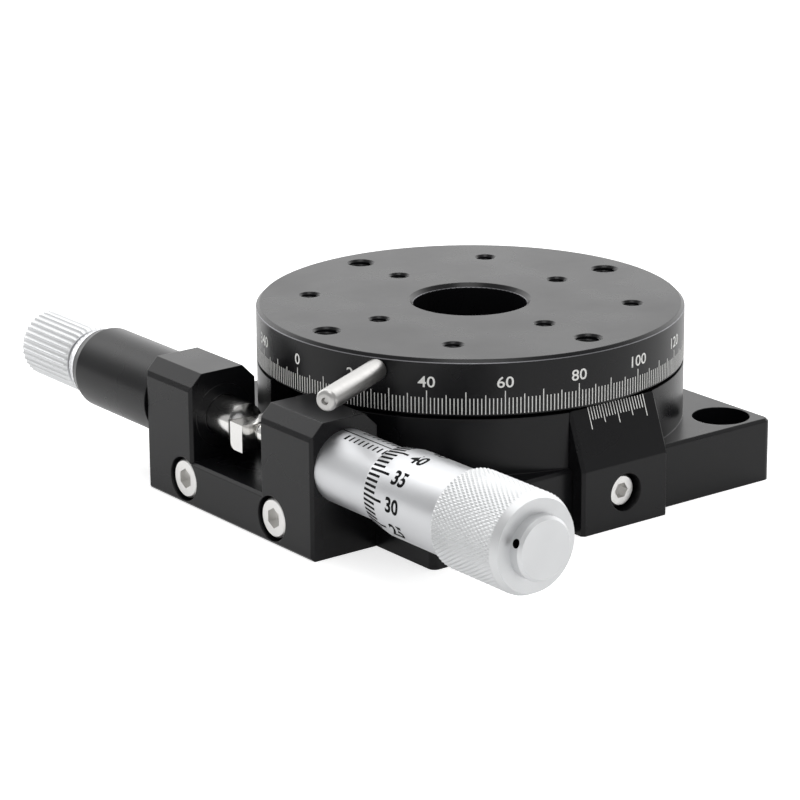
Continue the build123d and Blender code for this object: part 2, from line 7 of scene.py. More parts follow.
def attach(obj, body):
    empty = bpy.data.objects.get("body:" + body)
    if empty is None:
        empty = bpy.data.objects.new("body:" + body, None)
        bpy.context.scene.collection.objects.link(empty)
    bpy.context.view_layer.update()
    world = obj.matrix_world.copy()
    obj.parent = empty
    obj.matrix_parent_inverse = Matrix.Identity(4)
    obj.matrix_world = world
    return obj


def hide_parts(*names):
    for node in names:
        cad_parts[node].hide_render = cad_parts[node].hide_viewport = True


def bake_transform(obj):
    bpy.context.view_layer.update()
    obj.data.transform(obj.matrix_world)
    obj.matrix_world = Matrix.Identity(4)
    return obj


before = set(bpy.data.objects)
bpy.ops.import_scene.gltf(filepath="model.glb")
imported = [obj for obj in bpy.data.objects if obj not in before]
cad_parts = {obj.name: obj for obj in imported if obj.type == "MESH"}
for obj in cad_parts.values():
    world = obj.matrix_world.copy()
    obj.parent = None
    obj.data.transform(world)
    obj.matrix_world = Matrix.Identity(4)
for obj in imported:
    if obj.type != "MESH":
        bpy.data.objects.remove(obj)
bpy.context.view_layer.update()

# Sizes are in millimetres unless a note says otherwise.
mm = 0.001
meshValues = {"mergeDistance": 0.0005, "sharpAngle": 32, "curveSteps": 3}
headAxis = {"x": -35.0, "z": 12.3}
# Local Z of this frame runs from the micrometer's post to its cap, along -Y.
headMatrix = Matrix(((1, 0, 0, headAxis["x"] * mm), (0, 0, -1, 0), (0, 1, 0, headAxis["z"] * mm), (0, 0, 0, 1)))


def colour(hexText):
    parts = [int(hexText[i:i + 2], 16) / 255 for i in (1, 3, 5)]
    linear = [p / 12.92 if p <= 0.04045 else ((p + 0.055) / 1.055) ** 2.4 for p in parts]
    return (*linear, 1.0)


def addNode(tree, kind, inputs=None, **settings):
    node = tree.nodes.new(kind)
    for key, value in settings.items():
        setattr(node, key, value)
    for key, value in (inputs or {}).items():
        if isinstance(value, bpy.types.NodeSocket):
            tree.links.new(value, node.inputs[key])
        else:
            node.inputs[key].default_value = value
    return node


def mathNode(tree, operation, *values):
    return addNode(tree, "ShaderNodeMath", dict(enumerate(values)), operation=operation).outputs[0]


def rescaled(tree, value, source, target, **settings):
    # Carries a value from one range to another.
    return addNode(tree, "ShaderNodeMapRange", {"Value": value, "From Min": source[0], "From Max": source[1],
                                                "To Min": target[0], "To Max": target[1]},
                   **settings).outputs["Result"]


def newMaterial(name):
    material = bpy.data.materials.new(name)
    material.use_nodes = True
    material.node_tree.nodes.clear()
    return material, material.node_tree


def finishMaterial(tree, shader):
    addNode(tree, "ShaderNodeOutputMaterial", {"Surface": shader.outputs[0]})


# Materials. Pattern sizes are in metres, from Object coordinates.
# A spread is the least and the most that a pattern adds to the roughness.
anodiseValues = {"colour": "#0f0f11", "roughness": 0.28, "spread": (-0.03, 0.04), "cloud": 90.0, "grain": 0.00022,
                 "grainDepth": 0.0000035, "grainStrength": 0.35, "edge": 0.00018, "edgeSamples": 6, "ior": 1.34}
# Colour, roughness, and the width and depth of the lathe's lines
turnedValues = {
    "satinChrome": ("#cdced0", 0.36, 0.00006, 0.0000012),
    "sleeveChrome": ("#d4d5d7", 0.44, 0.00006, 0.0000012),
    "gripChrome": ("#d9dadb", 0.5, 0.00012, 0.000001),
    "polishedChrome": ("#f4f4f6", 0.17, 0.0001, 0.0000005),
    "groundSteel": ("#e4e3e1", 0.15, 0.00005, 0.000001),
}
turningMarks = {"smudgeScale": 260.0, "spread": (-0.03, 0.04), "strength": 0.5}
# Colour and roughness
metalValues = {
    "screwSteel": ("#eae9e7", 0.36),
    "rodSteel": ("#bab9b7", 0.36),
    "springWire": ("#9b9993", 0.25),
    # Bright metal for the painted highlight lines along the table's rim and bore chamfers
    "rimHighlightMetal": ("#77777a", 0.45),
    "brass": ("#c79a4b", 0.25),
}
toolMarks = {"scale": 1500.0, "spread": (-0.04, 0.06), "depth": 0.000002, "strength": 0.4}
# Colour, roughness and shine
paintValues = {
    # Near-black for the painted shade over the cap's spanner hole
    "holeShadeBlack": ("#020202", 0.9, 0.0),
    "bearingPlastic": ("#d8d4c8", 0.45, 0.5),
    "whitePaint": ("#f8f8f5", 0.6, 0.5),
    "blackPaint": ("#0c0c0d", 0.7, 0.1),
}
paintMarks = {"scale": 2500.0, "spread": (-0.08, 0.08), "noiseRange": (0.25, 0.75)}
# Most of a noise pattern lies in this range.
noiseRange = (0.3, 0.7)


def noise(tree, place, scale, detail):
    return addNode(tree, "ShaderNodeTexNoise", {"Vector": place, "Scale": scale, "Detail": detail}).outputs["Fac"]


def unevenRoughness(tree, pattern, roughness, spread, source=noiseRange):
    return rescaled(tree, pattern, source, (roughness + spread[0], roughness + spread[1]))


def blackAnodised():
    # Bead-blasted black anodising: deep grey, satin at a slant, with edges that catch a thin light line.
    v = anodiseValues
    material, tree = newMaterial("blackAnodised")
    place = addNode(tree, "ShaderNodeTexCoord").outputs["Object"]
    rough = unevenRoughness(tree, noise(tree, place, v["cloud"], 3.0), v["roughness"], v["spread"])
    edge = addNode(tree, "ShaderNodeBevel", {"Radius": v["edge"]}, samples=v["edgeSamples"])
    bump = addNode(tree, "ShaderNodeBump", {
        "Strength": v["grainStrength"], "Distance": v["grainDepth"],
        "Height": noise(tree, place, 1 / v["grain"], 2.0), "Normal": edge.outputs["Normal"]})
    shader = addNode(tree, "ShaderNodeBsdfPrincipled", {
        "Base Color": colour(v["colour"]), "Roughness": rough, "IOR": v["ior"], "Normal": bump.outputs["Normal"]})
    finishMaterial(tree, shader)
    return material


def finishMetal(tree, base, rough, bump):
    shader = addNode(tree, "ShaderNodeBsdfPrincipled", {
        "Base Color": colour(base), "Metallic": 1.0, "Roughness": rough, "Normal": bump.outputs["Normal"]})
    finishMaterial(tree, shader)


def turnedMetal(name, base, roughness, line, depth):
    # Metal turned on a lathe along Y: fine rings round the part that stretch highlights along it.
    material, tree = newMaterial(name)
    place = addNode(tree, "ShaderNodeTexCoord").outputs["Object"]
    axes = addNode(tree, "ShaderNodeSeparateXYZ", {"Vector": place})
    rings = addNode(tree, "ShaderNodeTexNoise", {"W": axes.outputs["Y"], "Scale": 1 / line, "Detail": 2.0},
                    noise_dimensions="1D")
    rough = unevenRoughness(tree, noise(tree, place, turningMarks["smudgeScale"], 3.0), roughness,
                            turningMarks["spread"])
    bump = addNode(tree, "ShaderNodeBump", {"Strength": turningMarks["strength"], "Distance": depth,
                                            "Height": rings.outputs["Fac"]})
    finishMetal(tree, base, rough, bump)
    return material


def plainMetal(name, base, roughness):
    # Metal with faint tool marks and finger smudges.
    material, tree = newMaterial(name)
    place = addNode(tree, "ShaderNodeTexCoord").outputs["Object"]
    marks = noise(tree, place, toolMarks["scale"], 3.0)
    rough = unevenRoughness(tree, marks, roughness, toolMarks["spread"])
    bump = addNode(tree, "ShaderNodeBump", {"Strength": toolMarks["strength"], "Distance": toolMarks["depth"],
                                            "Height": marks})
    finishMetal(tree, base, rough, bump)
    return material


def plainPaint(name, base, roughness, shine):
    # Paint filled into an engraved mark, matt and a little uneven; the near-black one is painted shade over the
    # cap's spanner hole.
    material, tree = newMaterial(name)
    place = addNode(tree, "ShaderNodeTexCoord").outputs["Object"]
    rough = unevenRoughness(tree, noise(tree, place, paintMarks["scale"], 2.0), roughness, paintMarks["spread"],
                            paintMarks["noiseRange"])
    shader = addNode(tree, "ShaderNodeBsdfPrincipled", {
        "Base Color": colour(base), "Specular IOR Level": shine, "Roughness": rough})
    finishMaterial(tree, shader)
    return material


materials = {"black": blackAnodised()}
for make, table in ((turnedMetal, turnedValues), (plainMetal, metalValues), (plainPaint, paintValues)):
    for name, values in table.items():
        materials[name] = make(name, *values)
print("materials made:", len(materials))

nodeFinish = {
    "black": ["base_body", "vernier_block", "fine_adjust_ring", "table", "micrometer_bracket", "spring_housing",
              "bearing_retainer", "hub_retainer"],
    "sleeveChrome": ["micrometer_sleeve"],
    "satinChrome": ["micrometer_thimble"],
    "gripChrome": ["thimble_cap", "preload_knob"],
    "polishedChrome": ["knob_collar"],
    "groundSteel": ["bearing_outer_ring", "bearing_inner_ring", "bearing_rollers", "lever_arm", "micrometer_spindle",
                    "spring_plunger", "clamp_screw"],
    "screwSteel": ["vernier_screw", "retainer_screws", "hub_screws", "arm_screw", "bracket_screws",
                   "sleeve_set_screw", "housing_set_screw"],
    "springWire": ["plunger_spring"],
    "brass": ["micrometer_nut", "spring_seat", "clamp_tip", "clamp_pin"],
    "bearingPlastic": ["thrust_washer"],
}
for finish, names in nodeFinish.items():
    for name in names:
        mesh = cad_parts[name].data
        mesh.materials.clear()
        mesh.materials.append(materials[finish])
print("materials set on", sum(len(n) for n in nodeFinish.values()), "nodes of", len(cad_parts))


def closeUp(mesh, solid):
    # Merges doubled points and, on a solid, turns all faces outwards.
    work = bmesh.new()
    work.from_mesh(mesh)
    bmesh.ops.remove_doubles(work, verts=work.verts, dist=meshValues["mergeDistance"] * mm)
    if solid:
        bmesh.ops.recalc_face_normals(work, faces=work.faces)
    work.to_mesh(mesh)
    work.free()


def addObject(name, data):
    thing = bpy.data.objects.new(name, data)
    bpy.context.scene.collection.objects.link(thing)
    return thing


def addPiece(name, mesh, material, body):
    piece = addObject(name, mesh)
    mesh.materials.clear()
    mesh.materials.append(material)
    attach(piece, body)
    return piece


def makePiece(name, verts, faces, material, body, smooth=True, matrix=None):
    # A flat mark, not smooth, keeps the order of its corners, which faces it outwards.
    mesh = bpy.data.meshes.new(name)
    mesh.from_pydata(verts, [], faces)
    if matrix:
        mesh.transform(matrix)
    mesh.validate()
    closeUp(mesh, smooth)
    if smooth:
        mesh.shade_smooth()
        mesh.set_sharp_from_angle(angle=radians(meshValues["sharpAngle"]))
    return addPiece(name, mesh, material, body)


def polar(radius, turn, z):
    # A point at an angle round local Z, in metres.
    return (radius * cos(turn) * mm, radius * sin(turn) * mm, z * mm)


def lathed(rows, columns):
    # Rows of (place along the axis, radius at each column); a row of radius 0 is a pole.
    verts, faces, last = [], [], None
    for at, radii in rows:
        start = len(verts)
        if max(radii) == 0:
            verts.append((0, 0, at * mm))
            row = [start] * columns
        else:
            verts += [polar(radius, 2 * pi * column / columns, at) for column, radius in enumerate(radii)]
            row = list(range(start, len(verts)))
        if last:
            for column in range(columns):
                after = (column + 1) % columns
                corners = [last[column], last[after], row[after], row[column]]
                faces.append(tuple(dict.fromkeys(corners)))
        last = row
    return verts, faces


def roundRows(outline, columns):
    # Rows for lathed, each with one radius all round.
    return [(at, [radius] * columns) for at, radius in outline]


def geometryGroup(name, inputs):
    tree = bpy.data.node_groups.new(name, "GeometryNodeTree")
    for title, kind in inputs:
        tree.interface.new_socket(title, in_out="INPUT", socket_type="NodeSocket" + kind)
    tree.interface.new_socket("Geometry", in_out="OUTPUT", socket_type="NodeSocketGeometry")
    return tree


def finishGroup(tree, copies, material):
    real = addNode(tree, "GeometryNodeRealizeInstances", {"Geometry": copies.outputs[0]})
    dressed = addNode(tree, "GeometryNodeSetMaterial", {"Geometry": real.outputs[0], "Material": material})
    addNode(tree, "NodeGroupOutput", {"Geometry": dressed.outputs[0]})


def pointsOnCircle(tree, count, turn, radius, height):
    points = addNode(tree, "GeometryNodePoints", {"Count": count})
    across = mathNode(tree, "MULTIPLY", mathNode(tree, "COSINE", turn), radius)
    along = mathNode(tree, "MULTIPLY", mathNode(tree, "SINE", turn), radius)
    place = addNode(tree, "ShaderNodeCombineXYZ", {"X": across, "Y": along, "Z": height})
    return addNode(tree, "GeometryNodeSetPosition", {"Geometry": points.outputs[0],
                                                     "Position": place.outputs[0]}).outputs[0]


def evaluated(tree, values):
    # The group's result as a plain mesh.
    carrier = addObject("carrier", bpy.data.meshes.new("carrier"))
    modifier = carrier.modifiers.new("shape", "NODES")
    modifier.node_group = tree
    for item in tree.interface.items_tree:
        if item.in_out == "INPUT":
            modifier[item.identifier] = values[item.name]
    graph = bpy.context.evaluated_depsgraph_get()
    mesh = bpy.data.meshes.new_from_object(carrier.evaluated_get(graph))
    bpy.data.objects.remove(carrier)
    return mesh


def markGroup():
    # Tick marks round a cylinder or cone on local Z, longer at every fifth, tenth and named one.
    tree = geometryGroup("ringMarks", [
        ("Count", "Int"), ("Step", "Float"), ("Start", "Float"), ("Radius", "Float"), ("Foot", "Float"),
        ("Short", "Float"), ("Fifth", "Float"), ("Tenth", "Float"), ("Named", "Float"), ("Named Every", "Float"),
        ("Width", "Float"), ("Thickness", "Float"), ("Lean", "Float"), ("Material", "Material")])
    given = addNode(tree, "NodeGroupInput").outputs
    index = addNode(tree, "GeometryNodeInputIndex").outputs[0]
    turn = mathNode(tree, "MULTIPLY_ADD", index, given["Step"], given["Start"])
    length = shorter = given["Short"]
    for title, every in (("Fifth", 5.0), ("Tenth", 10.0), ("Named", given["Named Every"])):
        hit = mathNode(tree, "COMPARE", mathNode(tree, "MODULO", index, every), 0.0, 0.5)
        length = mathNode(tree, "MULTIPLY_ADD", hit, mathNode(tree, "SUBTRACT", given[title], shorter), length)
        shorter = given[title]
    turnVector = addNode(tree, "ShaderNodeCombineXYZ", {"Y": given["Lean"], "Z": turn})
    turning = addNode(tree, "FunctionNodeEulerToRotation", {0: turnVector.outputs[0]})
    size = addNode(tree, "ShaderNodeCombineXYZ", {"X": given["Thickness"], "Y": given["Width"], "Z": 1.0})
    bar = addNode(tree, "GeometryNodeMeshCube", {"Size": size.outputs[0]})
    lifted = addNode(tree, "GeometryNodeTransform", {"Geometry": bar.outputs["Mesh"], "Translation": (0, 0, 0.5)})
    scale = addNode(tree, "ShaderNodeCombineXYZ", {"X": 1.0, "Y": 1.0, "Z": length})
    bars = addNode(tree, "GeometryNodeInstanceOnPoints", {
        "Points": pointsOnCircle(tree, given["Count"], turn, given["Radius"], given["Foot"]),
        "Instance": lifted.outputs[0], "Rotation": turning.outputs[0], "Scale": scale.outputs[0]})
    finishGroup(tree, bars, given["Material"])
    return tree


ringMarks = markGroup()


def addTicks(name, body, paint, marks, lengths, sizes, lean=0.0, matrix=None):
    # Marks are (count, step, start, named every) with angles in degrees, lengths those of the plain, fifth,
    # tenth and named marks, and sizes (radius, foot, width, thickness).
    count, step, start, every = marks
    values = {"Count": count, "Step": radians(step), "Start": radians(start), "Named Every": every, "Lean": lean,
              "Material": materials[paint]}
    for title, size in zip(("Short", "Fifth", "Tenth", "Named", "Radius", "Foot", "Width", "Thickness"),
                           (*lengths, *sizes)):
        values[title] = size * mm
    mesh = evaluated(ringMarks, values)
    if matrix:
        mesh.transform(matrix)
    return addPiece(name, mesh, materials[paint], body)


def textMesh(text, height, boldness):
    # A number as a flat mesh, centred on the origin, with its digits that tall.
    curve = bpy.data.curves.new("number", "FONT")
    curve.body = text
    curve.resolution_u = meshValues["curveSteps"]
    curve.offset = boldness
    curve.align_x = "CENTER"
    holder = bpy.data.objects.new("number", curve)
    mesh = bpy.data.meshes.new_from_object(holder)
    bpy.data.objects.remove(holder)
    low = min(vertex.co.y for vertex in mesh.vertices)
    high = max(vertex.co.y for vertex in mesh.vertices)
    scale = height / (high - low)
    points = [(vertex.co.x * scale, (vertex.co.y - (low + high) / 2) * scale) for vertex in mesh.vertices]
    faces = [tuple(p.vertices) for p in mesh.polygons]
    return points, faces


def gather(parts):
    # Joins (verts, faces) lists into one pair.
    verts, faces = [], []
    for partVerts, partFaces in parts:
        start = len(verts)
        verts += partVerts
        faces += [tuple(i + start for i in f) for f in partFaces]
    return verts, faces


# Degree scale on the table's side
scaleValues = {"zeroAzimuth": 180.46, "radius": 29.999, "foot": 17.5, "short": 2.22, "fifth": 2.67, "tenth": 3.1,
               "named": 3.2, "namedEvery": 20, "width": 0.13, "thickness": 0.016, "numberHeight": 1.55,
               "numberMiddle": 21.9, "numberWidth": 1.12, "boldness": 0.01, "boxSide": 30.0}


def insideBox(point):
    # Holds x at the box side, so the marks' thickness stands no further out than the table.
    # Nothing may stand out of the box by the marks' thickness.
    return (min(point[0], scaleValues["boxSide"] * mm), point[1], point[2])


def tableScale():
    v = scaleValues
    ticks = addTicks("tableTicks", "table", "whitePaint", (360, 1, v["zeroAzimuth"], float(v["namedEvery"])),
                     (v["short"], v["fifth"], v["tenth"], v["named"]),
                     (v["radius"], v["foot"], v["width"], v["thickness"]))
    for vertex in ticks.data.vertices:
        vertex.co = insideBox(vertex.co)
    parts = []
    radius = v["radius"] + v["thickness"] / 2
    for degree in range(0, 360, v["namedEvery"]):
        points, faces = textMesh(str(degree), v["numberHeight"], v["boldness"])
        middle = radians(v["zeroAzimuth"] + degree)
        verts = [insideBox(polar(radius, middle + x * v["numberWidth"] / radius, v["numberMiddle"] + y))
                 for x, y in points]
        parts.append((verts, faces))
    verts, faces = gather(parts)
    makePiece("tableNumbers", verts, faces, materials["whitePaint"], "table", smooth=False)


tableScale()

# Painted highlight: thin bright metal lines along the lower edges of the chamfers at the table's rim and bore stand
# in for the chamfers' reflection, as (radius, height)
rimValues = {"rim": ((30.004, 24.5), (29.9, 24.61)), "bore": ((8.07, 24.48), (7.994, 24.4)), "steps": 360}


def edgeLines():
    v = rimValues
    for title in ("rim", "bore"):
        verts, faces = [], []
        for i in range(v["steps"]):
            after = (i + 1) % v["steps"]
            verts += [insideBox(polar(radius, 2 * pi * i / v["steps"], z)) for radius, z in v[title]]
            faces.append((2 * i, 2 * after, 2 * after + 1, 2 * i + 1))
        # Each line is a painted highlight in bright metal, standing in for the chamfer's reflection.
        makePiece("edgeLine." + title, verts, faces, materials["rimHighlightMetal"], "table", smooth=False)


edgeLines()

# Vernier lines on the slanted index block, whose face is given by two points (y, z)
vernierValues = {"zeroAzimuth": 263.8, "divisions": 20, "span": 18.7, "top": 16.95, "shortEnd": 15.25,
                 "fifthEnd": 14.6, "tenthEnd": 14.1, "width": 0.13, "lift": 0.008, "radius": 30.0,
                 "lowFace": (-32.3, 9.0), "highFace": (-29.3, 16.9)}


def vernierLines():
    v = vernierValues
    (lowY, lowZ), (highY, highZ) = v["lowFace"], v["highFace"]
    slope = (highY - lowY) / (highZ - lowZ)
    run = sqrt(1 + slope * slope)
    parts = []
    for i in range(v["divisions"] + 1):
        azimuth = radians(v["zeroAzimuth"] + i * v["span"] / v["divisions"])
        x = v["radius"] * cos(azimuth)
        end = v["tenthEnd"] if i % 10 == 0 else v["fifthEnd"] if i % 5 == 0 else v["shortEnd"]
        corners = []
        for side, z in ((-1, v["top"]), (1, v["top"]), (1, end), (-1, end)):
            z = min(z, highZ)
            y = highY + (z - highZ) * slope
            corners.append(((x + side * v["width"] / 2) * mm, (y - v["lift"] / run) * mm,
                            (z + v["lift"] * slope / run) * mm))
        parts.append((corners, [(3, 2, 1, 0)]))
    verts, faces = gather(parts)
    makePiece("vernierLines", verts, faces, materials["whitePaint"], "base", smooth=False)


vernierLines()

# Graduations of the micrometer
datumHeight = 87.5
thimbleValues = {"edge": 28.8, "edgeRadius": 5.35, "bevel": 3.4, "radius": 5.9, "reading": 41.53, "divisions": 50,
                 "named": 5, "inset": 0.15, "short": 2.75, "long": 3.29, "tail": 1.0, "width": 0.34,
                 "thickness": 0.02, "bevelLift": 0.03, "numberHeight": 2.1, "numberStart": 34.1,
                 "numberLift": 0.01, "boldness": 0.032}
sleeveValues = {"radius": 5.05, "lift": 0.01, "datumStart": 17.8, "datumWidth": 0.2, "underThimble": 4.0,
                "first": 20.2, "pitch": 1.0, "count": 13, "lower": (7.5, 19.5), "width": 0.33, "firstWidth": 0.44,
                "offset": 0.5, "upper": (12.0, 31.0), "upperWidth": 0.46, "arcSteps": 6, "datumSteps": 2}


def thimbleMarks():
    v = thimbleValues
    step = 360 / v["divisions"]
    start = 180 - datumHeight + v["reading"] * step
    lean = atan2(v["radius"] - v["edgeRadius"], v["bevel"])
    addTicks("thimbleTicks", "thimble", "blackPaint", (v["divisions"], -step, start, float(v["named"])),
             (v["short"], v["long"], v["long"], v["long"]),
             (v["edgeRadius"] + v["bevelLift"], v["edge"] + v["inset"], v["width"], v["thickness"]),
             lean=lean, matrix=headMatrix)
    # Every fifth line runs on past the bevel.
    addTicks("thimbleLongTicks", "thimble", "blackPaint",
             (v["divisions"] // v["named"], -step * v["named"], start, float(v["named"])), (v["tail"],) * 4,
             (v["radius"], v["edge"] + v["bevel"], v["width"], v["thickness"]), matrix=headMatrix)
    parts = []
    radius = v["radius"] + v["numberLift"]
    for value in range(0, v["divisions"], v["named"]):
        points, faces = textMesh(str(value), v["numberHeight"], v["boldness"])
        left = min(x for x, y in points)
        middle = radians(start - step * value)
        parts.append(([polar(radius, middle - y / radius, v["numberStart"] + x - left) for x, y in points], faces))
    verts, faces = gather(parts)
    makePiece("thimbleNumbers", verts, faces, materials["blackPaint"], "thimble", smooth=False, matrix=headMatrix)


def arcStrip(radius, turnA, turnB, low, high, pieces):
    verts = []
    start, end = sorted((turnA, turnB))
    for i in range(pieces + 1):
        turn = start + (end - start) * i / pieces
        verts += [polar(radius, turn, low), polar(radius, turn, high)]
    return verts, [(2 * i, 2 * i + 2, 2 * i + 3, 2 * i + 1) for i in range(pieces)]


def sleeveMarks():
    v = sleeveValues
    radius = v["radius"] + v["lift"]
    datum = radians(180 - datumHeight)
    half = v["datumWidth"] / 2 / radius
    parts = [arcStrip(radius, datum - half, datum + half, v["datumStart"],
                      thimbleValues["edge"] + v["underThimble"], v["datumSteps"])]
    for i in range(v["count"]):
        at = v["first"] + i * v["pitch"]
        half = (v["width"] if i else v["firstWidth"]) / 2
        near, far = (radians(a) for a in v["lower"])
        parts.append(arcStrip(radius, datum + near, datum + far, at - half, at + half, v["arcSteps"]))
        at += v["offset"]
        half = v["upperWidth"] / 2
        near, far = (radians(a) for a in v["upper"])
        parts.append(arcStrip(radius, datum - near, datum - far, at - half, at + half, v["arcSteps"]))
    verts, faces = gather(parts)
    makePiece("sleeveMarks", verts, faces, materials["blackPaint"], "base", smooth=False, matrix=headMatrix)


thimbleMarks()
sleeveMarks()
print("scales made")

# Thimble with its diamond knurl
knurlValues = {"count": 68, "slope": 32.0, "depth": 0.15, "flat": 1.45, "samples": 6, "radius": 6.7,
               "start": 44.2, "startRadius": 6.4, "startLead": 0.3, "end": 57.0, "endRadius": 6.1, "endLead": 1.2,
               "bore": 20.0, "sleeveBore": 5.1, "capBore": 3.02, "capDepth": 3.0, "spindleBore": 2.05}


def knurledThimble():
    v = knurlValues
    t = thimbleValues
    columns = v["count"] * v["samples"]
    pitch = 2 * pi * v["radius"] / v["count"]
    axialPitch = pitch / sin(radians(v["slope"])) * cos(radians(v["slope"]))
    rows = roundRows([(t["edge"], v["sleeveBore"]), (t["edge"], t["edgeRadius"]),
                      (t["edge"] + t["bevel"], t["radius"]), (v["start"], t["radius"])], columns)
    outline = [(v["start"], v["startRadius"]), (v["start"] + v["startLead"], v["radius"]),
               (v["end"] - v["endLead"], v["radius"]), (v["end"], v["endRadius"])]
    steps = ceil((v["end"] - v["start"]) / (axialPitch / v["samples"]))
    for i in range(steps + 1):
        at = v["start"] + (v["end"] - v["start"]) * i / steps
        for (a, radiusA), (b, radiusB) in zip(outline, outline[1:]):
            if a <= at <= b + 1e-9:
                outer = radiusA + (radiusB - radiusA) * (at - a) / (b - a)
        slant = (at - v["start"]) / axialPitch
        radii = []
        for column in range(columns):
            place = column / columns * v["count"]
            ups = [1 - abs(2 * ((place + side * slant) % 1) - 1) for side in (1, -1)]
            radii.append(min(outer, v["radius"] - v["depth"] * (1 - min(1, min(ups) * v["flat"]))))
        rows.append((at, radii))
    seat, back = v["end"] - v["capDepth"], t["edge"] + v["bore"]
    rows += roundRows([(v["end"], v["capBore"]), (seat, v["capBore"]), (seat, v["spindleBore"]),
                       (back, v["spindleBore"]), (back, v["sleeveBore"]), (t["edge"], v["sleeveBore"])], columns)
    verts, faces = lathed(rows, columns)
    piece = makePiece("knurledThimble", verts, faces, materials["satinChrome"], "thimble",
                      matrix=headMatrix)
    # The grip and what lies behind it are matter than the barrel.
    piece.data.materials.append(materials["gripChrome"])
    for face in piece.data.polygons:
        if -face.center.y > v["start"] * mm:
            face.material_index = 1
    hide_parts("micrometer_thimble")
    print("thimble faces:", len(piece.data.polygons))


knurledThimble()

# Painted shade: a near-black disc over the mouth of the spanner hole in the cap's side stands for the shade inside
# the hole
capHoleValues = {"radius": 4.212, "along": 57.9, "azimuth": 160.0, "hole": 0.6, "steps": 28}


def capHole():
    v = capHoleValues
    verts = []
    for i in range(v["steps"]):
        turn = 2 * pi * i / v["steps"]
        verts.append(polar(v["radius"], radians(v["azimuth"]) + v["hole"] * cos(turn) / v["radius"],
                           v["along"] + v["hole"] * sin(turn)))
    # The disc is painted shade in near-black, wider than the hole itself.
    makePiece("capHole", verts, [tuple(range(v["steps"]))], materials["holeShadeBlack"], "thimble", smooth=False,
              matrix=headMatrix)


capHole()

# Preload knob with broad flutes between narrow ridges
knobValues = {"stemEnd": -34.98, "face": -43.9, "end": -56.6, "radius": 4.85, "stemRadius": 1.95, "flutes": 36,
              "depth": 0.26, "fullness": 0.7, "chamfer": 0.8, "samples": 8}


def flutedKnob():
    v = knobValues
    columns = v["flutes"] * v["samples"]
    grip = [v["radius"] - v["depth"] * sin(pi * (column % v["samples"]) / v["samples"]) ** v["fullness"]
            for column in range(columns)]
    small = v["radius"] - v["chamfer"]
    half = v["chamfer"] / 2
    rows = roundRows([(v["stemEnd"], 0), (v["stemEnd"], v["stemRadius"]), (v["face"], v["stemRadius"]),
                      (v["face"], small + half)], columns)
    rows += [(v["face"] - half, grip), (v["end"] + v["chamfer"], grip),
             (v["end"], [min(small, g) for g in grip]), (v["end"], [0] * columns)]
    verts, faces = lathed(rows, columns)
    knob = makePiece("flutedKnob", verts, faces, materials["gripChrome"], "preload_knob",
                     matrix=headMatrix)
    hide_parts("preload_knob")


flutedKnob()

# Polished collar behind the housing: it laps over the taper's end and has a shallow groove next to the knob
collarValues = {"lap": -41.1, "lapRadius": 5.23, "seat": -42.9, "seatRadius": 4.6, "skin": 0.04, "far": -43.8,
                "rim": 4.2, "bore": 2.0, "land": 0.08, "groove": 0.3, "steps": 10, "columns": 96}


def polishedCollar():
    v = collarValues
    outline = [(v["lap"], v["lapRadius"]), (v["lap"], v["lapRadius"] + v["skin"])]
    start, end = v["seat"] - v["land"], v["far"] + v["land"]
    outer = v["seatRadius"] + v["skin"]
    for i in range(v["steps"] + 1):
        share = i / v["steps"]
        outline.append((start + (end - start) * share,
                        outer + (v["rim"] - outer) * share - v["groove"] * sin(pi * share)))
    outline += [(v["far"], v["rim"]), (v["far"], v["bore"]), (v["seat"], v["bore"]), (v["seat"], v["seatRadius"]),
                (v["lap"], v["lapRadius"])]
    verts, faces = lathed(roundRows(outline, v["columns"]), v["columns"])
    collar = makePiece("polishedCollar", verts, faces, materials["polishedChrome"], "base",
                       matrix=headMatrix)
    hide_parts("knob_collar")


polishedCollar()

# Clamp rod: slim where it runs in the table, thicker with a rounded end outside
rodValues = {"azimuth": 207.3, "height": 23.0, "start": 23.35, "shoulder": 30.3, "end": 45.5, "neck": 1.27,
             "radius": 1.5, "round": 0.7, "roundSteps": 6, "dimple": 0.5, "dimpleFoot": 0.3, "dimpleDepth": 0.45,
             "columns": 48}


def clampRod():
    v = rodValues
    outline = [(v["start"], 0), (v["start"], v["neck"]), (v["shoulder"], v["neck"]), (v["shoulder"], v["radius"])]
    for i in range(v["roundSteps"] + 1):
        turn = radians(90 * i / v["roundSteps"])
        outline.append((v["end"] - v["round"] * (1 - sin(turn)), v["radius"] - v["round"] * (1 - cos(turn))))
    bottom = v["end"] - v["dimpleDepth"]
    outline += [(v["end"], v["dimple"]), (bottom, v["dimpleFoot"]), (bottom, 0)]
    verts, faces = lathed(roundRows(outline, v["columns"]), v["columns"])
    place = (Matrix.Translation((0, 0, v["height"] * mm)) @ Matrix.Rotation(radians(v["azimuth"]), 4, "Z")
             @ Matrix.Rotation(radians(90), 4, "Y"))
    piece = makePiece("clampRod", verts, faces, materials["rodSteel"], "clamp_screw", matrix=place)
    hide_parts("clamp_screw")


clampRod()


def plungerSpring():
    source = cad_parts["plunger_spring"]
    mesh = source.data.copy()
    mesh.transform(source.matrix_world)
    closeUp(mesh, True)
    mesh.shade_smooth()
    mesh.materials.clear()
    mesh.materials.append(materials["springWire"])
    spring = addObject("plungerSpring", mesh)
    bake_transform(spring)
    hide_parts("plunger_spring")


plungerSpring()

# Threads in the table's tapped holes. Crest and end are shares of the pitch.
threadValues = {"top": 24.7, "depth": 5.2, "groove": 0.22, "inWall": 0.02, "crest": 0.42, "end": 0.84,
                "steps": 24, "copies": 4}
threadRings = {
    "outer": {"radius": 1.7, "pitch": 0.7, "circle": 25.1, "start": 0.8},
    "middle": {"radius": 1.25, "pitch": 0.5, "circle": 22.68, "start": 45.8},
    "inner": {"radius": 1.25, "pitch": 0.5, "circle": 16.08, "start": 0.8},
}


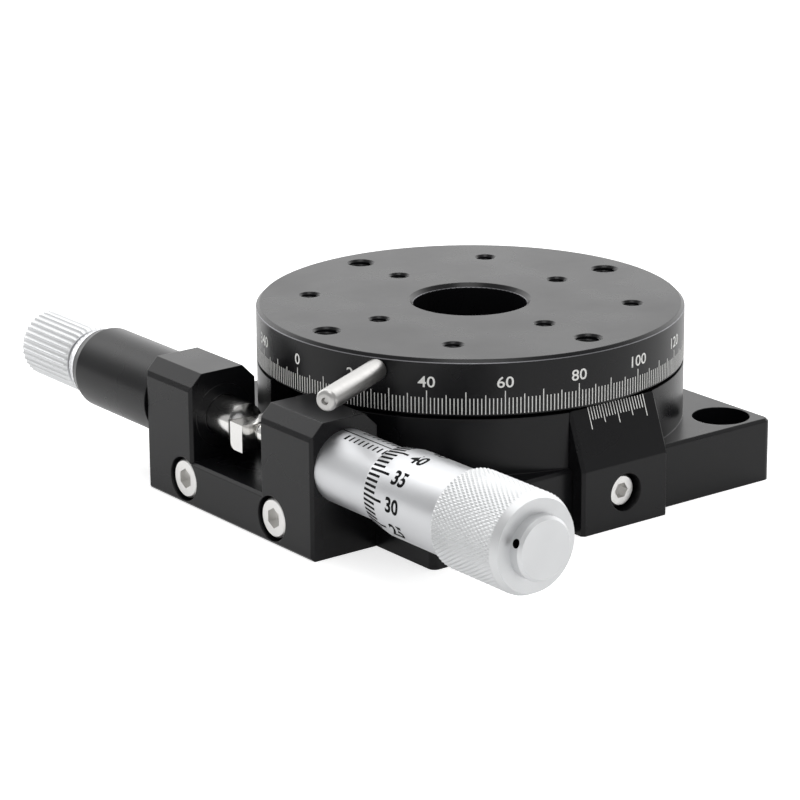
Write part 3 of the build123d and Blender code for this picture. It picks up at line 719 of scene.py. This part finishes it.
def threadGroup():
    # Copies of one threaded liner at even steps round a circle.
    tree = geometryGroup("linerRing", [("Liner", "Object"), ("Count", "Int"), ("Radius", "Float"),
                                       ("Start", "Float"), ("Material", "Material")])
    given = addNode(tree, "NodeGroupInput").outputs
    index = addNode(tree, "GeometryNodeInputIndex").outputs[0]
    step = mathNode(tree, "DIVIDE", 2 * pi, given["Count"])
    turn = mathNode(tree, "MULTIPLY_ADD", index, step, given["Start"])
    liner = addNode(tree, "GeometryNodeObjectInfo", {"Object": given["Liner"]})
    copies = addNode(tree, "GeometryNodeInstanceOnPoints", {
        "Points": pointsOnCircle(tree, given["Count"], turn, given["Radius"], 0.0),
        "Instance": liner.outputs["Geometry"]})
    finishGroup(tree, copies, given["Material"])
    return tree


linerRing = threadGroup()


def threadLiner(radius, pitch):
    # A thread's crests reach inwards from the hole's wall.
    v = threadValues
    steps = v["steps"]
    turns = floor(v["depth"] / pitch)
    section = ((v["inWall"], 0.0), (-v["groove"], pitch * v["crest"]), (v["inWall"], pitch * v["end"]))
    verts, faces = [], []
    for i in range(turns * steps + 1):
        z = v["top"] - v["depth"] + pitch * i / steps
        verts += [polar(radius + out, 2 * pi * i / steps, min(z + up, v["top"])) for out, up in section]
    sides = len(section)
    for i in range(turns * steps):
        for j in range(sides):
            a, b = sides * i + j, sides * i + (j + 1) % sides
            faces.append((a, a + sides, b + sides, b))
    faces += [(0, 1, 2), tuple(sides * turns * steps + k for k in (2, 1, 0))]
    mesh = bpy.data.meshes.new("liner")
    mesh.from_pydata(verts, [], faces)
    closeUp(mesh, True)
    return addObject("liner", mesh)


def tableThreads():
    for title, ring in threadRings.items():
        liner = threadLiner(ring["radius"], ring["pitch"])
        mesh = evaluated(linerRing, {
            "Liner": liner, "Count": threadValues["copies"], "Radius": ring["circle"] * mm,
            "Start": radians(ring["start"]), "Material": materials["black"]})
        linerMesh = liner.data
        bpy.data.objects.remove(liner)
        bpy.data.meshes.remove(linerMesh)
        addPiece("threads." + title, mesh, materials["black"], "table")


tableThreads()
print("threads made")

# Camera, set from the photo's perspective. Lengths are in metres, and the lens and sensor in millimetres.
cameraValues = {"azimuth": -37.226, "height": 17.44, "roll": -0.431, "distance": 0.465483, "right": -0.009803,
                "up": -0.014192, "target": 0.025, "lens": 149.5, "sensor": 36.0, "near": 0.01, "far": 20.0}


def makeCamera():
    v = cameraValues
    azimuth, height, roll = radians(v["azimuth"]), radians(v["height"]), radians(v["roll"])
    back = Vector((sin(azimuth) * cos(height), -cos(azimuth) * cos(height), sin(height)))
    side = (-back).cross(Vector((0, 0, 1))).normalized()
    top = side.cross(-back)
    right = cos(roll) * side + sin(roll) * top
    up = -sin(roll) * side + cos(roll) * top
    where = back * v["distance"] + right * v["right"] + up * v["up"] + Vector((0, 0, v["target"]))
    data = bpy.data.cameras.new("camera")
    data.lens = v["lens"]
    data.sensor_width = v["sensor"]
    data.clip_start = v["near"]
    data.clip_end = v["far"]
    camera = addObject("camera", data)
    camera.matrix_world = Matrix.Translation(where) @ Matrix((right, up, back)).transposed().to_4x4()
    bpy.context.scene.camera = camera


makeCamera()

# Floor and light, in metres. The mirrored way is the one that the table's top reflects to the viewer.
floorValues = {"size": 3.0, "shade": "#dedede", "roughness": 0.9, "glow": 0.7, "mirror": 0.32}
worldValues = {"front": 0.53, "back": 2.8, "turnsBright": (0.45, 0.8), "dip": 1.3, "turnsDim": (0.75, 1.0),
               "mirroredWay": (0.605, 0.796, 0.35)}
lampValues = {
    "overhead": {"place": (-0.12, -0.2, 0.85), "target": (0, 0, 0), "size": (0.4, 0.4), "power": 1.5},
    "left": {"place": (-0.75, 0.1, 0.35), "target": (0, 0, 0.02), "size": (0.4, 0.5), "power": 0.1},
}


def makeFloor():
    v = floorValues
    size = v["size"]
    mesh = bpy.data.meshes.new("floor")
    mesh.from_pydata([(-size, -size, 0), (size, -size, 0), (size, size, 0), (-size, size, 0)], [], [(0, 1, 2, 3)])
    floorPiece = addObject("floor", mesh)
    material, tree = newMaterial("floorPaper")
    path = addNode(tree, "ShaderNodeLightPath").outputs
    mirror = mathNode(tree, "MULTIPLY", path["Is Glossy Ray"], v["mirror"])
    glow = mathNode(tree, "MULTIPLY_ADD", path["Is Camera Ray"], v["glow"], mirror)
    shader = addNode(tree, "ShaderNodeBsdfPrincipled", {
        "Base Color": colour(v["shade"]), "Roughness": v["roughness"], "Emission Color": (1, 1, 1, 1),
        "Emission Strength": glow, "Specular IOR Level": 0.0})
    finishMaterial(tree, shader)
    mesh.materials.append(material)


def makeWorld():
    # A bright backdrop, lightest towards its sides, and a dim room on the viewer's side.
    v = worldValues
    world = bpy.data.worlds.new("room")
    bpy.context.scene.world = world
    world.use_nodes = True
    tree = world.node_tree
    tree.nodes.clear()
    way = addNode(tree, "ShaderNodeTexCoord").outputs["Generated"]
    facing = addNode(tree, "ShaderNodeVectorMath", {0: way, 1: v["mirroredWay"]},
                     operation="DOT_PRODUCT").outputs["Value"]
    level = rescaled(tree, facing, v["turnsBright"], (v["front"], v["back"]), interpolation_type="SMOOTHSTEP")
    dip = rescaled(tree, facing, v["turnsDim"], (0.0, v["dip"]), interpolation_type="SMOOTHSTEP")
    glow = addNode(tree, "ShaderNodeBackground", {"Color": (1, 1, 1, 1),
                                                  "Strength": mathNode(tree, "SUBTRACT", level, dip)})
    addNode(tree, "ShaderNodeOutputWorld", {"Surface": glow.outputs[0]})


def addLamps():
    for name, v in lampValues.items():
        data = bpy.data.lights.new(name, "AREA")
        data.shape = "RECTANGLE"
        data.size, data.size_y = v["size"]
        data.energy = v["power"]
        lamp = addObject(name, data)
        lamp.location = v["place"]
        lamp.rotation_euler = (Vector(v["target"]) - Vector(v["place"])).to_track_quat("-Z", "Y").to_euler()


makeFloor()
makeWorld()
addLamps()
bpy.context.scene.view_settings.view_transform = "Standard"
print("camera, floor and lamps set")
